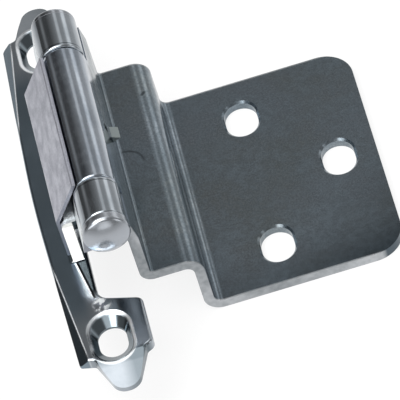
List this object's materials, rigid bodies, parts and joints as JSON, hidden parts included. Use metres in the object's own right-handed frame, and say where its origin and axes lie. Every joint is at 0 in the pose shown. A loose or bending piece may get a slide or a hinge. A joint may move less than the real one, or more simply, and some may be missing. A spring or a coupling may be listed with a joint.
{
  "type": "self-closing inset cabinet hinge",
  "caption": "Face-mount cabinet hinge for a rebated door: finial-ended frame wing, cranked door leaf with slotted holes, domed pin and a flat closing spring over the barrel.",
  "frame": {"origin": "midway between the two frame screw slots, on the wing's back face, which lies on the cabinet's face frame", "axes": "+X from the frame wing towards the door, +Y along the pin away from its domed head, +Z out of the face frame"},
  "size_m": [0.0471, 0.072, 0.0252],
  "materials": {
    "wing": "polished",
    "leaf": "polished, slightly satin on the plate",
    "pin": "polished",
    "spring": "matte plated spring steel"
  },
  "bodies": {
    "wing": {"frame_wing": "wing", "hinge_pin": "pin", "closing_spring": "spring"},
    "leaf": {"door_leaf": "leaf"}
  },
  "joints": [
    {"name": "door_swing", "type": "hinge", "parent": "wing", "child": "leaf", "pos_m": [0.00345, 0, 0.0131], "axis": [0, -1, 0], "range_deg": [0, 140]}
  ]
}
